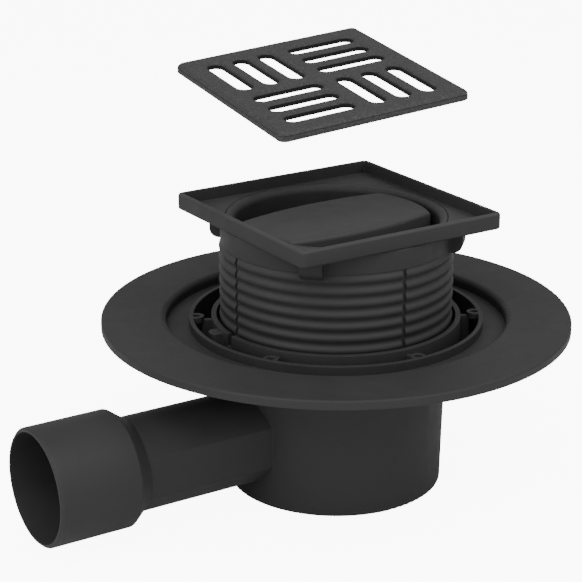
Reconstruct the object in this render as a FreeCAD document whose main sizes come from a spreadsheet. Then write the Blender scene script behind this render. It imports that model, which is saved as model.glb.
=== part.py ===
import FreeCAD, Part
import math
import os
import Sketcher

# Floor gully with a water trap: a moulded pot with a membrane flange and a side outlet,
# a turning and sliding riser with a square frame, a lift-out trap (cup and bell) and a slotted grate.
# Millimetres. The base of the pot is at z = 0, its axis is the z axis, the outlet points along -x.

doc = FreeCAD.newDocument("gully")

# Driving sizes: name, value, meaning
sizes = [
    ("pot_draft", 1.2, "taper of the pot wall, on its radius"),
    ("pot_height", 49.0, "top of the tapered pot wall"),
    ("pot_wall", 2.2, "pot wall"),
    ("pot_floor", 2.5, "pot bottom"),
    ("pot_edge_round", 1.2, "rounding of the pot's bottom edge"),
    ("shoulder_rise", 2.5, "rise from the pot wall to the neck"),
    ("shoulder_width", 6.0, "step from the pot wall out to the neck"),
    ("riser_clearance", 1.5, "ribs of the riser to the bore of the neck"),
    ("neck_wall", 2.2, "wall of the neck"),
    ("collar_top", 75.6, "top edge of the collar round the riser"),
    ("notch_width", 3.4, "notch in the collar"),
    ("notch_depth", 5.4, "notch in the collar, from its top edge"),
    ("lug_length", 4.6, "lug beside the notch, outwards from the collar"),
    ("lug_width", 6.4, "lug beside the notch, along the collar"),
    ("lug_angle", 9.5, "lug beside the notch, degrees from the notch"),
    ("lug_drop", 1.1, "lug top below the collar top"),
    ("lug_round", 2.4, "upright outer edges of the lug"),
    ("seal_height", 4.0, "riser seal"),
    ("seal_top", 69.4, "top face of the riser seal"),
    ("seal_groove_depth", 1.1, "groove in the neck for the riser seal"),
    ("seal_clearance", 0.3, "riser seal to its groove"),
    ("lip_clearance", 0.3, "sealing lips to the ribs of the riser"),
    ("lip_width", 0.9, "one sealing lip at its root"),
    ("seal_web", 1.3, "back of the riser seal, radially"),
    ("flange_width", 27.9, "membrane flange, from the recess to its rim"),
    ("flange_top", 75.6, "top face of the flange"),
    ("flange_thickness", 3.8, "flange plate"),
    ("flange_edge_round", 0.9, "rounding of the flange rim"),
    ("recess_width", 9.9, "clamping recess, from the screw ring to its wall"),
    ("recess_depth", 5.0, "clamping recess"),
    ("recess_round", 2.3, "rounding where the flange drops into the recess"),
    ("ring_wall", 1.8, "screw ring wall"),
    ("ring_height", 4.1, "screw ring above the recess floor"),
    ("channel_width", 7.8, "channel between ring and collar"),
    ("channel_depth", 14.7, "channel between ring and collar, from the ring top"),
    ("channel_floor", 2.0, "bottom of the channel"),
    ("eyelet_count", 6, "screw eyelets"),
    ("eyelet_inset", 3.3, "middle of an eyelet, in from the outside of the screw ring"),
    ("eyelet_radius", 3.2, "eyelet, outside"),
    ("eyelet_bore", 1.7, "eyelet hole, radius"),
    ("eyelet_thickness", 2.6, "eyelet, top to bottom"),
    ("eyelet_angle", 30.0, "first eyelet, degrees from +x"),
    ("web_thickness", 2.0, "web behind each eyelet"),
    ("web_drop", 1.6, "web top below the ring top"),
    ("outlet_axis", 28.4, "height of the outlet axis"),
    ("outlet_reach", 145.4, "pot axis to the end of the spigot"),
    ("spigot_radius", 25.0, "spigot, outside"),
    ("spigot_length", 35.9, "full spigot"),
    ("spigot_wall", 1.8, "spigot wall"),
    ("spigot_chamfer", 1.1, "lead-in at the spigot end"),
    ("outlet_shoulder", 6.6, "cone between the spigot and the outlet neck"),
    ("outlet_neck_radius", 20.1, "outlet neck, round top and bottom"),
    ("outlet_neck_half_width", 18.0, "outlet neck, to its flat sides"),
    ("outlet_neck_wall", 2.0, "outlet neck wall"),
    ("frame_side", 100.0, "square frame, outside"),
    ("frame_corner", 3.0, "frame corner, seen from above"),
    ("frame_top", 124.7, "top of the frame"),
    ("frame_height", 7.0, "outer wall of the frame"),
    ("frame_edge_round", 1.2, "frame, upper outer edge"),
    ("frame_foot_round", 0.8, "frame, lower outer edge"),
    ("frame_lip", 2.2, "lip round the grate seat"),
    ("grate_seat_depth", 5.3, "grate seat below the frame top"),
    ("frame_overhang", 1.3, "side of the frame out from the riser tube"),
    ("riser_wall", 2.5, "riser tube wall"),
    ("riser_foot", 61.5, "lower end of the riser"),
    ("rib_rise", 1.3, "ribs, out from the riser tube"),
    ("rib_width", 4.4, "one rib, up and down"),
    ("rib_pitch", 5.03, "rib to rib"),
    ("rib_top", 106.3, "middle of the highest rib"),
    ("rib_count", 9, "ribs"),
    ("gap_width", 2.6, "upright gaps in the ribs"),
    ("gap_count", 4, "upright gaps in the ribs"),
    ("corner_lug_rise", 6.3, "lug under each frame corner, out from the riser tube"),
    ("corner_lug_width", 9.4, "lug under each frame corner"),
    ("corner_lug_drop", 10.5, "lug below the frame underside"),
    ("corner_lug_round", 4.0, "lug, lower outer edge"),
    ("cup_flange_clearance", 0.3, "rim of the trap cup to its seat"),
    ("cup_flange_thickness", 2.0, "rim of the trap cup"),
    ("cup_ledge", 1.2, "ledge of the riser under the rim of the cup"),
    ("cup_mouth_wall", 2.3, "trap cup wall at its mouth"),
    ("cup_mouth_round", 3.1, "rounded edge of the opening"),
    ("cup_clearance", 0.4, "trap cup to the bore of the riser"),
    ("cup_top_height", 8.5, "cup wall above the taper, below the rim"),
    ("cup_taper", 2.2, "taper of the trap cup, on its radius"),
    ("cup_depth", 67.4, "rim underside to the bottom of the cup"),
    ("cup_wall", 1.8, "trap cup wall"),
    ("cup_floor", 2.0, "trap cup bottom"),
    ("ring_seal_radius", 0.78, "round section of the cup seal"),
    ("ring_seal_drop", 3.1, "rim underside to the middle of the cup seal"),
    ("ring_seal_clearance", 0.1, "cup seal to cup and riser"),
    ("ring_seal_side_play", 0.3, "cup seal to the sides of its groove"),
    ("weir_length", 56.0, "overflow pipe of the cup, outside"),
    ("weir_width", 18.0, "overflow pipe of the cup, outside"),
    ("weir_wall", 1.8, "overflow pipe of the cup"),
    ("bell_head_room", 7.5, "overflow edge to the inside of the bell top"),
    ("trap_turn_angle", 3.0, "turn of the overflow pipe and the bell about z, as the trap lies in the frame"),
    ("bell_drop", 0.6, "top of the bell below the grate seat"),
    ("bell_clearance", 0.8, "rounded ends of the bell to the wall of the cup"),
    ("bell_half_width", 22.3, "bell, to the middle of its long sides"),
    ("bell_side_radius", 156.0, "bow of the bell's long sides"),
    ("bell_wall", 2.0, "bell wall"),
    ("bell_round", 2.0, "rounded top edge of the bell"),
    ("bell_foot_height", 8.0, "flow gap under the bell"),
    ("bell_gap_length", 54.0, "flow gap on each long side"),
    ("bell_gap_width", 22.0, "flow gap at each end"),
    ("grate_clearance", 2.5, "grate to the lip of the frame"),
    ("grate_thickness", 4.0, "grate at its rim"),
    ("grate_plate", 2.6, "grate inside its rim"),
    ("grate_rim", 3.2, "rim under the grate"),
    ("grate_corner", 3.5, "grate corner, seen from above"),
    ("grate_bevel", 1.4, "bevel round the top of the grate"),
    ("slot_width", 6.6, "slot in the grate"),
    ("slot_round", 1.4, "rounding round the top of each slot"),
    ("slot_pitch", 12.6, "slot to slot"),
    ("slot_count", 3, "slots in each quarter"),
    ("slot_margin", 9.05, "end of a slot to the side of the grate"),
    ("slot_bridge", 8.5, "slot end to slot end across the middle of the grate"),
    ("grate_lift", 169.6, "underside of the lifted grate, above the base"),
    ("grate_aside", 8.0, "middle of the lifted grate, towards +x"),
    ("grate_back", 25.0, "middle of the lifted grate, towards +y"),
    ("grate_tip_angle", 7.35, "tip of the lifted grate about x"),
    ("grate_lean_angle", -4.35, "tip of the lifted grate about y"),
    ("grate_turn_angle", -2.5, "turn of the lifted grate about z"),
]

# Places that follow from the driving sizes: name, formula
places = [
    ("frame_half", "frame_side / 2"),
    ("riser_radius", "frame_half - frame_overhang"),
    ("rib_radius", "riser_radius + rib_rise"),
    ("neck_bore_radius", "rib_radius + riser_clearance"),
    ("neck_radius", "neck_bore_radius + neck_wall"),
    ("pot_top_radius", "neck_radius - shoulder_width"),
    ("pot_base_radius", "pot_top_radius - pot_draft"),
    ("neck_start", "pot_height + shoulder_rise"),
    ("pot_bore_foot", "pot_base_radius - pot_wall"),
    ("pot_bore_top", "pot_top_radius - pot_wall"),
    ("neck_ledge", "pot_height + pot_wall"),
    ("neck_ledge_top", "neck_ledge + shoulder_rise"),
    ("seal_bottom", "seal_top - seal_height"),
    ("seal_groove_radius", "neck_bore_radius + seal_groove_depth"),
    ("seal_groove_top", "seal_top + seal_clearance"),
    ("seal_groove_bottom", "seal_bottom - seal_clearance"),
    ("seal_outer", "seal_groove_radius - seal_clearance"),
    ("seal_back", "seal_outer - seal_web"),
    ("seal_lip", "rib_radius + lip_clearance"),
    ("low_lip_root", "seal_bottom + lip_width"),
    ("high_lip_tip", "seal_top - lip_width"),
    ("high_lip_root", "seal_top - 2 * lip_width"),
    ("ring_bore", "neck_radius + channel_width"),
    ("ring_radius", "ring_bore + ring_wall"),
    ("recess_radius", "ring_radius + recess_width"),
    ("flange_radius", "recess_radius + flange_width"),
    ("flange_under", "flange_top - flange_thickness"),
    ("recess_floor", "flange_top - recess_depth"),
    ("recess_under", "recess_floor - flange_thickness"),
    ("recess_under_radius", "recess_radius + flange_thickness"),
    ("ring_top", "recess_floor + ring_height"),
    ("channel_bottom", "ring_top - channel_depth"),
    ("channel_under", "channel_bottom - channel_floor"),
    ("lug_top", "collar_top - lug_drop"),
    ("lug_height", "lug_top - channel_bottom"),
    ("lug_outer", "neck_radius + lug_length"),
    ("lug_half", "lug_width / 2"),
    ("collar_middle", "neck_bore_radius + neck_wall / 2"),
    ("notch_inner", "neck_bore_radius - neck_wall"),
    ("notch_outer", "neck_radius + neck_wall / 2"),
    ("notch_half", "notch_width / 2"),
    ("web_top", "ring_top - web_drop"),
    ("web_height", "web_top - channel_bottom"),
    ("eyelet_circle", "ring_radius - eyelet_inset"),
    ("web_end", "eyelet_circle - eyelet_bore - web_thickness / 4"),
    ("web_half", "web_thickness / 2"),
    ("spigot_start", "outlet_reach - spigot_length"),
    ("outlet_neck_end", "spigot_start - outlet_shoulder"),
    ("spigot_end_radius", "spigot_radius - spigot_chamfer"),
    ("spigot_chamfer_start", "outlet_reach - spigot_chamfer"),
    ("spigot_bore", "spigot_radius - spigot_wall"),
    ("spigot_bore_end", "spigot_start + outlet_neck_wall"),
    ("outlet_neck_bore", "outlet_neck_radius - outlet_neck_wall"),
    ("outlet_neck_bore_half", "outlet_neck_half_width - outlet_neck_wall"),
    ("outlet_neck_bore_end", "outlet_neck_end + outlet_neck_wall"),
    ("frame_under", "frame_top - frame_height"),
    ("grate_seat", "frame_top - grate_seat_depth"),
    ("grate_seat_half", "frame_half - frame_lip"),
    ("grate_seat_corner", "frame_corner - frame_lip / 2"),
    ("riser_bore", "riser_radius - riser_wall"),
    ("rib_half", "rib_width / 2"),
    ("rib_low", "rib_top - rib_half"),
    ("rib_high", "rib_top + rib_half"),
    ("rib_arc", "(rib_half ^ 2 + rib_rise ^ 2) / (2 * rib_rise)"),
    ("rib_run", "rib_pitch * (rib_count - 1)"),
    ("gap_half", "gap_width / 2"),
    ("gap_outer", "rib_radius + rib_rise"),
    ("gap_run", "rib_run + rib_width"),
    ("corner_lug_inner", "riser_radius - riser_wall / 2"),
    ("corner_lug_reach", "riser_radius + corner_lug_rise"),
    ("corner_lug_half", "corner_lug_width / 2"),
    ("corner_lug_top", "frame_under + frame_height / 8"),
    ("corner_lug_height", "corner_lug_drop + frame_height / 8"),
    ("corner_lug_bottom", "frame_under - corner_lug_drop"),
    ("cup_seat", "grate_seat - cup_flange_thickness"),
    ("cup_seat_radius", "riser_bore + cup_ledge"),
    ("cup_flange_radius", "cup_seat_radius - cup_flange_clearance"),
    ("cup_top_radius", "riser_bore - cup_clearance"),
    ("cup_taper_top", "cup_seat - cup_top_height"),
    ("cup_bottom", "cup_seat - cup_depth"),
    ("cup_inside_floor", "cup_bottom + cup_floor"),
    ("cup_foot_radius", "cup_top_radius - cup_taper"),
    ("cup_bore_foot", "cup_foot_radius - cup_wall"),
    ("cup_mouth_radius", "cup_top_radius - cup_mouth_wall"),
    ("ring_seal_middle", "cup_seat - ring_seal_drop"),
    ("ring_seal_circle", "riser_bore - ring_seal_clearance - ring_seal_radius"),
    ("ring_groove_radius", "ring_seal_circle - ring_seal_radius - ring_seal_clearance"),
    ("ring_groove_top", "ring_seal_middle + ring_seal_radius + ring_seal_side_play"),
    ("ring_groove_bottom", "ring_seal_middle - ring_seal_radius - ring_seal_side_play"),
    ("bell_top", "grate_seat - bell_drop"),
    ("weir_top", "bell_top - bell_wall - bell_head_room"),
    ("weir_height", "weir_top - cup_inside_floor"),
    ("weir_arc", "weir_width / 2"),
    ("weir_straight", "weir_length / 2 - weir_arc"),
    ("weir_bore_arc", "weir_arc - weir_wall"),
    ("bell_height", "bell_top - cup_inside_floor"),
    ("bell_hollow", "bell_height - bell_wall"),
    ("bell_radius", "cup_bore_foot - bell_clearance"),
    ("bell_side_centre", "bell_side_radius - bell_half_width"),
    ("bell_inner_radius", "bell_radius - bell_wall"),
    ("bell_inner_side", "bell_side_radius - bell_wall"),
    ("bell_gap_half_length", "bell_gap_length / 2"),
    ("bell_gap_half_width", "bell_gap_width / 2"),
    ("grate_half", "grate_seat_half - grate_clearance"),
    ("grate_hollow_half", "grate_half - grate_rim"),
    ("grate_hollow_depth", "grate_thickness - grate_plate"),
    ("slot_length", "grate_half - slot_margin - slot_bridge / 2"),
    ("quarter_centre", "slot_bridge / 2 + slot_length / 2"),
    ("slot_arc", "slot_width / 2"),
    ("slot_straight", "slot_length / 2 - slot_arc"),
]

z_axis = FreeCAD.Vector(0, 0, 1)
close = 0.001
sheet_of = {}


def fill_sheet(name, rows):
    """One sheet with a named cell in each row."""
    sheet = doc.addObject("Spreadsheet::Sheet", name)
    for row, (alias, content) in enumerate(rows, start=1):
        sheet.set("A%d" % row, alias)
        sheet.set("B%d" % row, content)
        sheet.setAlias("B%d" % row, alias)
        sheet_of[alias] = name
    doc.recompute()


def linked(formula):
    """A formula on cell names, with the name of its sheet put before each of them."""
    marks = "()-+*/^ "
    spaced = formula
    for mark in marks.strip():
        spaced = spaced.replace(mark, " " + mark + " ")
    words = []
    for word in spaced.split():
        words.append("%s.%s" % (sheet_of[word], word) if word in sheet_of else word)
    return " ".join(words)


def val(name):
    """The number in a named cell; a minus before the name turns its sign, 0 is nought."""
    if name == 0:
        return 0.0
    if name.startswith("-"):
        return -val(name[1:])
    return float(getattr(doc.getObject(sheet_of[name]), name))


def bind(thing, prop, formula):
    thing.setExpression(prop, linked(formula))


def new_body(name):
    body = doc.addObject("PartDesign::Body", name)
    body.Label = name
    return body


def origin_item(body, role):
    return [item for item in body.Origin.OriginFeatures if item.Role == role][0]


def sketch_on(body, name, role, height=None, up=None, turn=None):
    """A sketch on one of the body's origin planes: height lifts it off the plane, up slides it
    along its own y, and turn rotates it about its own z, each by a formula."""
    sketch = body.newObject("Sketcher::SketchObject", name)
    sketch.AttachmentSupport = [(origin_item(body, role), "")]
    sketch.MapMode = "FlatFace"
    if turn:
        sketch.AttachmentOffset = FreeCAD.Placement(FreeCAD.Vector(), FreeCAD.Rotation(z_axis, 45))
        bind(sketch, "AttachmentOffset.Rotation.Angle", turn)
    if up:
        bind(sketch, "AttachmentOffset.Base.y", up)
    if height:
        bind(sketch, "AttachmentOffset.Base.z", height)
    return sketch


def pin_point(sketch, item, end, x, y):
    """Holds a point of a sketch at two named distances from its origin; 0 puts it on an axis."""
    for kind, name, axis in (("DistanceX", x, -2), ("DistanceY", y, -1)):
        if name == 0:
            sketch.addConstraint(Sketcher.Constraint("PointOnObject", item, end, axis))
        else:
            row = sketch.addConstraint(Sketcher.Constraint(kind, -1, 1, item, end, val(name)))
            bind(sketch, "Constraints[%d]" % row, name)


def set_radius(sketch, item, name):
    row = sketch.addConstraint(Sketcher.Constraint("Radius", item, val(name)))
    bind(sketch, "Constraints[%d]" % row, name)


def outline(sketch, corners, arcs=None):
    """A closed outline through corners named by their cells. arcs gives the side that leaves a
    corner a radius instead of a straight line; the arc bulges to the right of its direction."""
    arcs = arcs or {}
    spots = [FreeCAD.Vector(val(x), val(y), 0) for x, y in corners]
    count = len(corners)
    first = sketch.GeometryCount
    for i in range(count):
        start, end = spots[i], spots[(i + 1) % count]
        if i in arcs:
            half = (end - start) / 2
            side = FreeCAD.Vector(half.y, -half.x, 0).normalize()
            rise = val(arcs[i]) - math.sqrt(val(arcs[i]) ** 2 - half.Length ** 2)
            sketch.addGeometry(Part.Arc(start, start + half + side * rise, end), False)
        else:
            sketch.addGeometry(Part.LineSegment(start, end), False)
    for i in range(count):
        following = (i + 1) % count
        geometry = sketch.Geometry[first + i]
        forward = geometry.StartPoint.distanceToPoint(spots[i]) < close
        next_forward = sketch.Geometry[first + following].StartPoint.distanceToPoint(spots[following]) < close
        arrive, leave = (1, 2) if forward else (2, 1)
        enter = 1 if next_forward else 2
        sketch.addConstraint(Sketcher.Constraint("Coincident", first + i, leave, first + following, enter))
        pin_point(sketch, first + i, arrive, *corners[i])
        if i in arcs:
            set_radius(sketch, first + i, arcs[i])


def circle_at(sketch, radius, x=0, y=0):
    ring = sketch.addGeometry(Part.Circle(FreeCAD.Vector(val(x), val(y), 0), z_axis, val(radius)), False)
    pin_point(sketch, ring, 3, x, y)
    set_radius(sketch, ring, radius)


def rectangle(sketch, left, right, half):
    """A rectangle between two named distances along x, half its width to each side of the x axis."""
    outline(sketch, [(left, "-" + half), (right, "-" + half), (right, half), (left, half)])


def flat_sided_round(sketch, radius, half):
    """A circle about the origin, cut flat on both sides along its own x at a named half width."""
    reach, width = val(radius), val(half)
    rise = math.sqrt(reach ** 2 - width ** 2)
    angle = math.asin(width / reach)
    ring = Part.Circle(FreeCAD.Vector(), z_axis, reach)
    items = [
        sketch.addGeometry(Part.ArcOfCircle(ring, -angle, angle), False),
        sketch.addGeometry(Part.LineSegment(FreeCAD.Vector(rise, width, 0), FreeCAD.Vector(-rise, width, 0))),
        sketch.addGeometry(Part.ArcOfCircle(ring, math.pi - angle, math.pi + angle), False),
        sketch.addGeometry(Part.LineSegment(FreeCAD.Vector(-rise, -width, 0), FreeCAD.Vector(rise, -width, 0))),
    ]
    for i, item in enumerate(items):
        sketch.addConstraint(Sketcher.Constraint("Coincident", item, 2, items[(i + 1) % len(items)], 1))
    for arc in (items[0], items[2]):
        sketch.addConstraint(Sketcher.Constraint("Coincident", arc, 3, -1, 1))
    sketch.addConstraint(Sketcher.Constraint("Equal", items[0], items[2]))
    set_radius(sketch, items[0], radius)
    for line, name in ((items[1], half), (items[3], "-" + half)):
        sketch.addConstraint(Sketcher.Constraint("Horizontal", line))
        row = sketch.addConstraint(Sketcher.Constraint("DistanceY", -1, 1, line, 1, val(name)))
        bind(sketch, "Constraints[%d]" % row, name)


def bowed_round(sketch, radius, side_radius, side_centre):
    """A circle about the origin with a shallow arc in place of each side along its own x. The arcs
    have their centres at a named distance across the middle."""
    reach, bow, far = val(radius), val(side_radius), val(side_centre)
    corner_y = (bow ** 2 - reach ** 2 - far ** 2) / (2 * far)
    end_angle = math.asin(corner_y / reach)
    side_angle = math.asin(math.sqrt(reach ** 2 - corner_y ** 2) / bow)
    ring = Part.Circle(FreeCAD.Vector(), z_axis, reach)
    back = Part.Circle(FreeCAD.Vector(0, -far, 0), z_axis, bow)
    front = Part.Circle(FreeCAD.Vector(0, far, 0), z_axis, bow)
    quarter, half = math.pi / 2, math.pi
    items = [
        sketch.addGeometry(Part.ArcOfCircle(ring, -end_angle, end_angle), False),
        sketch.addGeometry(Part.ArcOfCircle(back, quarter - side_angle, quarter + side_angle), False),
        sketch.addGeometry(Part.ArcOfCircle(ring, half - end_angle, half + end_angle), False),
        sketch.addGeometry(Part.ArcOfCircle(front, 3 * quarter - side_angle, 3 * quarter + side_angle), False),
    ]
    for i, item in enumerate(items):
        sketch.addConstraint(Sketcher.Constraint("Coincident", item, 2, items[(i + 1) % len(items)], 1))
    pin_point(sketch, items[0], 3, 0, 0)
    pin_point(sketch, items[2], 3, 0, 0)
    pin_point(sketch, items[1], 3, 0, "-" + side_centre)
    pin_point(sketch, items[3], 3, 0, side_centre)
    for item, name in zip(items, (radius, side_radius, radius, side_radius)):
        set_radius(sketch, item, name)


def stadium(sketch, straight, arc, x=0, y=0):
    """A slot with round ends along x about a named spot: half its straight part, and its end radius."""
    reach, width = val(straight), val(arc)
    middle = FreeCAD.Vector(val(x), val(y), 0)
    corner = [middle + FreeCAD.Vector(i * reach, j * width, 0) for i, j in ((1, 1), (-1, 1), (-1, -1), (1, -1))]
    right = Part.Circle(middle + FreeCAD.Vector(reach, 0, 0), z_axis, width)
    left = Part.Circle(middle - FreeCAD.Vector(reach, 0, 0), z_axis, width)
    items = [
        sketch.addGeometry(Part.ArcOfCircle(right, -math.pi / 2, math.pi / 2), False),
        sketch.addGeometry(Part.LineSegment(corner[0], corner[1]), False),
        sketch.addGeometry(Part.ArcOfCircle(left, math.pi / 2, 3 * math.pi / 2), False),
        sketch.addGeometry(Part.LineSegment(corner[2], corner[3]), False),
    ]
    for i, item in enumerate(items):
        sketch.addConstraint(Sketcher.Constraint("Tangent", item, 2, items[(i + 1) % len(items)], 1))
    set_radius(sketch, items[0], arc)
    for item, sign in ((items[0], 1), (items[2], -1)):
        formula = ("%s + " % x if x else "") + "%d * %s" % (sign, straight)
        row = sketch.addConstraint(
            Sketcher.Constraint("DistanceX", -1, 1, item, 3, middle.x + sign * reach))
        bind(sketch, "Constraints[%d]" % row, formula)
        if y == 0:
            sketch.addConstraint(Sketcher.Constraint("PointOnObject", item, 3, -1))
        else:
            row = sketch.addConstraint(Sketcher.Constraint("DistanceY", -1, 1, item, 3, middle.y))
            bind(sketch, "Constraints[%d]" % row, y)


def lathe(body, name, sketch, kind="PartDesign::Revolution", axis="V_Axis"):
    """A full turn of a sketch about one of its axes, added or cut."""
    turned = body.newObject(kind, name)
    turned.Profile = sketch
    turned.ReferenceAxis = (sketch, [axis])
    turned.Angle = 360
    return turned


def extrude(body, name, sketch, length, kind="PartDesign::Pad", back=False, both=False):
    """A pad or a pocket of a sketch, with its length by a formula."""
    grown = body.newObject(kind, name)
    grown.Profile = sketch
    bind(grown, "Length", length)
    grown.Reversed = back
    grown.Midplane = both
    return grown


def around(body, name, features, count):
    """Copies of features, evenly all round the body's axis."""
    doc.recompute()
    ring = body.newObject("PartDesign::PolarPattern", name)
    ring.Originals = features
    ring.Axis = (origin_item(body, "Z_Axis"), [""])
    ring.Angle = 360
    bind(ring, "Occurrences", count)
    body.Tip = ring
    return ring


def round_edges(body, name, size, is_wanted, kind="PartDesign::Fillet"):
    """Rounds or bevels the edges of the body's last feature that a test picks."""
    doc.recompute()
    base = body.Tip
    wanted = [i for i, edge in enumerate(base.Shape.Edges, start=1) if is_wanted(edge)]
    finish = body.newObject(kind, name)
    finish.Base = (base, ["Edge%d" % i for i in wanted])
    bind(finish, "Size" if kind.endswith("Chamfer") else "Radius", size)
    return finish


def is_circle(edge, radius, height):
    """An edge that runs round the z axis at a named radius and height."""
    curve = edge.Curve
    if not isinstance(curve, Part.Circle):
        return False
    on_axis = abs(curve.Center.x) < close and abs(curve.Center.y) < close
    return on_axis and abs(curve.Radius - val(radius)) < close and abs(curve.Center.z - val(height)) < close


def is_upright(edge):
    """A straight edge along z."""
    if len(edge.Vertexes) < 2:
        return False
    run = edge.Vertexes[0].Point - edge.Vertexes[1].Point
    return abs(run.x) < close and abs(run.y) < close


def middle_of(edge):
    return edge.valueAt((edge.FirstParameter + edge.LastParameter) / 2)


def make_trap_body():
    """Pot, neck with collar, screw channel, flange and outlet: one moulding."""
    body = new_body("trap_body")
    wall = sketch_on(body, "outer_section", "XZ_Plane")
    outline(wall, [
        (0, 0),
        ("pot_base_radius", 0),
        ("pot_top_radius", "pot_height"),
        ("neck_radius", "neck_start"),
        ("neck_radius", "channel_under"),
        ("ring_radius", "channel_under"),
        ("ring_radius", "recess_under"),
        ("recess_under_radius", "recess_under"),
        ("recess_under_radius", "flange_under"),
        ("flange_radius", "flange_under"),
        ("flange_radius", "flange_top"),
        ("recess_radius", "flange_top"),
        ("recess_radius", "recess_floor"),
        ("ring_radius", "recess_floor"),
        ("ring_radius", "ring_top"),
        ("ring_bore", "ring_top"),
        ("ring_bore", "channel_bottom"),
        ("neck_radius", "channel_bottom"),
        ("neck_radius", "collar_top"),
        (0, "collar_top"),
    ])
    lathe(body, "outside", wall)
    round_edges(body, "recess_lip", "recess_round", lambda edge: is_circle(edge, "recess_radius", "flange_top"))
    round_edges(body, "flange_rim", "flange_edge_round",
                lambda edge: is_circle(edge, "flange_radius", "flange_top"))
    round_edges(body, "pot_edge", "pot_edge_round",
                lambda edge: isinstance(edge.Curve, Part.Circle) and abs(edge.Curve.Center.z) < close)

    neck = sketch_on(body, "outlet_neck_section", "YZ_Plane", up="outlet_axis", turn="90")
    flat_sided_round(neck, "outlet_neck_radius", "outlet_neck_half_width")
    extrude(body, "outlet_neck", neck, "outlet_neck_end", back=True)

    spigot = sketch_on(body, "spigot_section", "XZ_Plane", up="outlet_axis")
    outline(spigot, [
        ("-outlet_neck_end", 0),
        ("-outlet_neck_end", "outlet_neck_radius"),
        ("-spigot_start", "spigot_radius"),
        ("-spigot_chamfer_start", "spigot_radius"),
        ("-outlet_reach", "spigot_end_radius"),
        ("-outlet_reach", 0),
    ])
    lathe(body, "spigot", spigot, axis="H_Axis")

    inside = sketch_on(body, "inner_section", "XZ_Plane")
    outline(inside, [
        (0, "pot_floor"),
        ("pot_bore_foot", "pot_floor"),
        ("pot_bore_top", "neck_ledge"),
        ("neck_bore_radius", "neck_ledge_top"),
        ("neck_bore_radius", "seal_groove_bottom"),
        ("seal_groove_radius", "seal_groove_bottom"),
        ("seal_groove_radius", "seal_groove_top"),
        ("neck_bore_radius", "seal_groove_top"),
        ("neck_bore_radius", "collar_top"),
        (0, "collar_top"),
    ])
    lathe(body, "inside", inside, kind="PartDesign::Groove")

    spigot_bore = sketch_on(body, "spigot_bore_section", "XZ_Plane", up="outlet_axis")
    outline(spigot_bore, [
        ("-outlet_neck_bore_end", 0),
        ("-outlet_neck_bore_end", "outlet_neck_bore"),
        ("-spigot_bore_end", "spigot_bore"),
        ("-outlet_reach", "spigot_bore"),
        ("-outlet_reach", 0),
    ])
    lathe(body, "spigot_bore", spigot_bore, kind="PartDesign::Groove", axis="H_Axis")
    neck_bore = sketch_on(body, "outlet_neck_bore_section", "YZ_Plane", up="outlet_axis", turn="90")
    flat_sided_round(neck_bore, "outlet_neck_bore", "outlet_neck_bore_half")
    extrude(body, "outlet_neck_bore", neck_bore, "outlet_neck_bore_end", kind="PartDesign::Pocket")

    web = sketch_on(body, "web_plan", "XY_Plane", height="channel_bottom", turn="eyelet_angle")
    rectangle(web, "collar_middle", "web_end", "web_half")
    webs = extrude(body, "web", web, "web_height")
    eyelet = sketch_on(body, "eyelet_plan", "XY_Plane", height="ring_top", turn="eyelet_angle")
    circle_at(eyelet, "eyelet_radius", x="eyelet_circle")
    eyelets = extrude(body, "eyelet", eyelet, "eyelet_thickness", back=True)
    hole = sketch_on(body, "eyelet_hole_plan", "XY_Plane", height="ring_top", turn="eyelet_angle")
    circle_at(hole, "eyelet_bore", x="eyelet_circle")
    holes = extrude(body, "eyelet_hole", hole, "eyelet_thickness", kind="PartDesign::Pocket")
    around(body, "eyelets", [webs, eyelets, holes], "eyelet_count")

    lug = sketch_on(body, "lug_plan", "XY_Plane", height="channel_bottom", turn="180 - lug_angle")
    rectangle(lug, "collar_middle", "lug_outer", "lug_half")
    extrude(body, "lug", lug, "lug_height")
    reach = math.hypot(val("lug_outer"), val("lug_half"))
    round_edges(body, "lug_edges", "lug_round", lambda edge: is_upright(edge)
                and abs(math.hypot(edge.CenterOfMass.x, edge.CenterOfMass.y) - reach) < close)
    notch = sketch_on(body, "notch_plan", "XY_Plane", height="collar_top", turn="180")
    rectangle(notch, "notch_inner", "notch_outer", "notch_half")
    extrude(body, "notch", notch, "notch_depth", kind="PartDesign::Pocket")
    return body


def make_riser_seal():
    """Rubber ring with two lips, in the groove of the neck."""
    body = new_body("riser_seal")
    section = sketch_on(body, "seal_section", "XZ_Plane")
    outline(section, [
        ("seal_back", "seal_bottom"),
        ("seal_outer", "seal_bottom"),
        ("seal_outer", "seal_top"),
        ("seal_back", "seal_top"),
        ("seal_lip", "high_lip_tip"),
        ("seal_back", "high_lip_root"),
        ("seal_back", "low_lip_root"),
        ("seal_lip", "seal_bottom"),
    ])
    lathe(body, "seal", section)
    return body


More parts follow.
